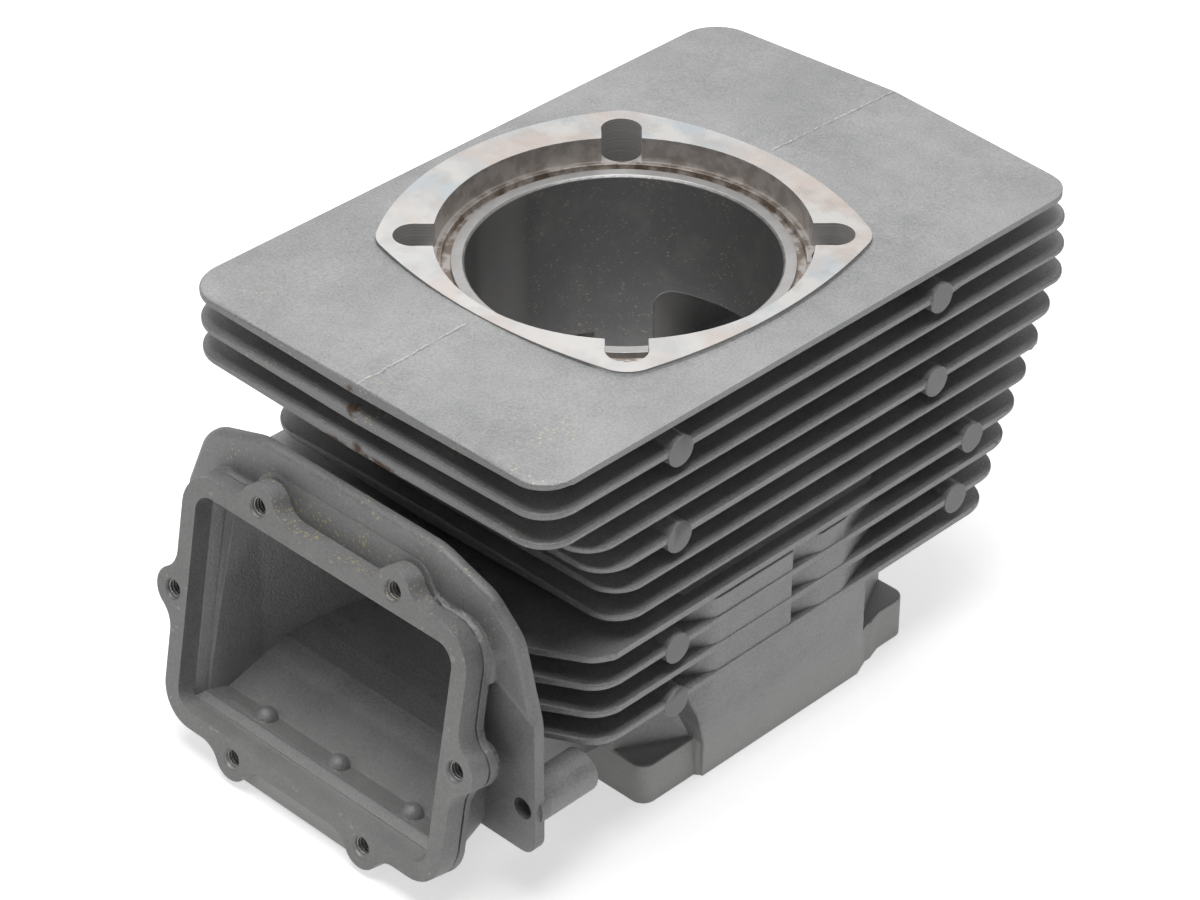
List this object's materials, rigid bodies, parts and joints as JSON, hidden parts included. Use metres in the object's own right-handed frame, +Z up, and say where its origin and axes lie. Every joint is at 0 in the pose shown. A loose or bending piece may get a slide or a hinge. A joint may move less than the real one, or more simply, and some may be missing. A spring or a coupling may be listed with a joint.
{
  "type": "two-stroke engine cylinder",
  "caption": "Air cooled two-stroke engine cylinder with flat cooling fins, open bore, stud holes and a wide flanged inlet duct on one side.",
  "frame": {"origin": "on the bore axis, in the plane of the crankcase face that the cylinder stands on", "axes": "+Z up along the bore axis to the head face, -Y towards the wide inlet duct, +Y towards the exhaust side, +X towards the side wall that is seen in the picture"},
  "size_m": [0.1334, 0.2285, 0.1256],
  "materials": {
    "casting": "as-cast matt grey with machined faces"
  },
  "bodies": {
    "root": {"cylinder": "casting"}
  },
  "joints": []
}
